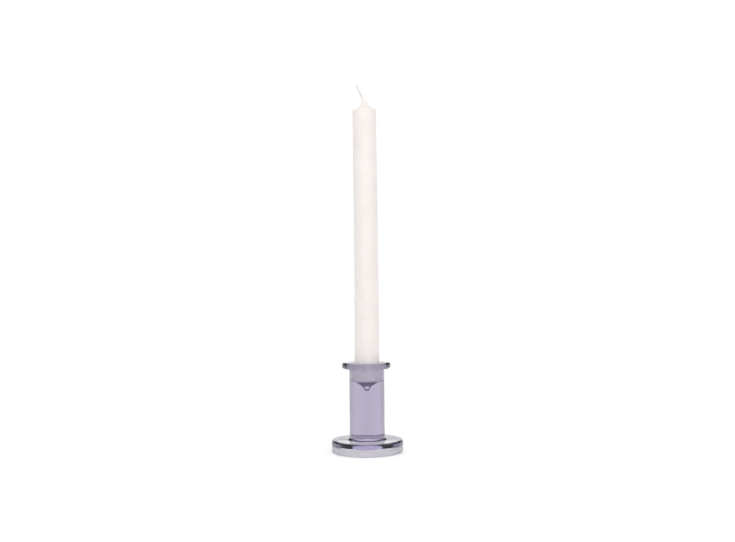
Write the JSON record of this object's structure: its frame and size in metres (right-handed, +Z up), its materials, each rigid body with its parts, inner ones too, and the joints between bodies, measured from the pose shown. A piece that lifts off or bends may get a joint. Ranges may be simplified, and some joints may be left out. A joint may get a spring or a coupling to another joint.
{
  "type": "candlestick with candle",
  "caption": "Round-footed pressed-glass candlestick with a flat drip collar, holding a tall straight dinner candle that lifts out of its socket.",
  "frame": {"origin": "centre of the foot, at the level of the flat ring that the candlestick stands on", "axes": "+Z up along the common axis of foot, stem, socket and candle; +X to the right seen from the front, so the wick bends towards -X"},
  "size_m": [0.0658, 0.0658, 0.337],
  "materials": {
    "tinted_glass": "polished",
    "white_wax": "satin",
    "cotton_wick": "matte"
  },
  "bodies": {
    "holder": {"candlestick": "tinted_glass"},
    "candle": {"candle_wax": "white_wax", "wick": "cotton_wick"}
  },
  "joints": [
    {"name": "candle_lift", "type": "slide", "parent": "holder", "child": "candle", "axis": [0, 0, 1], "range_m": [0, 0.04]}
  ]
}
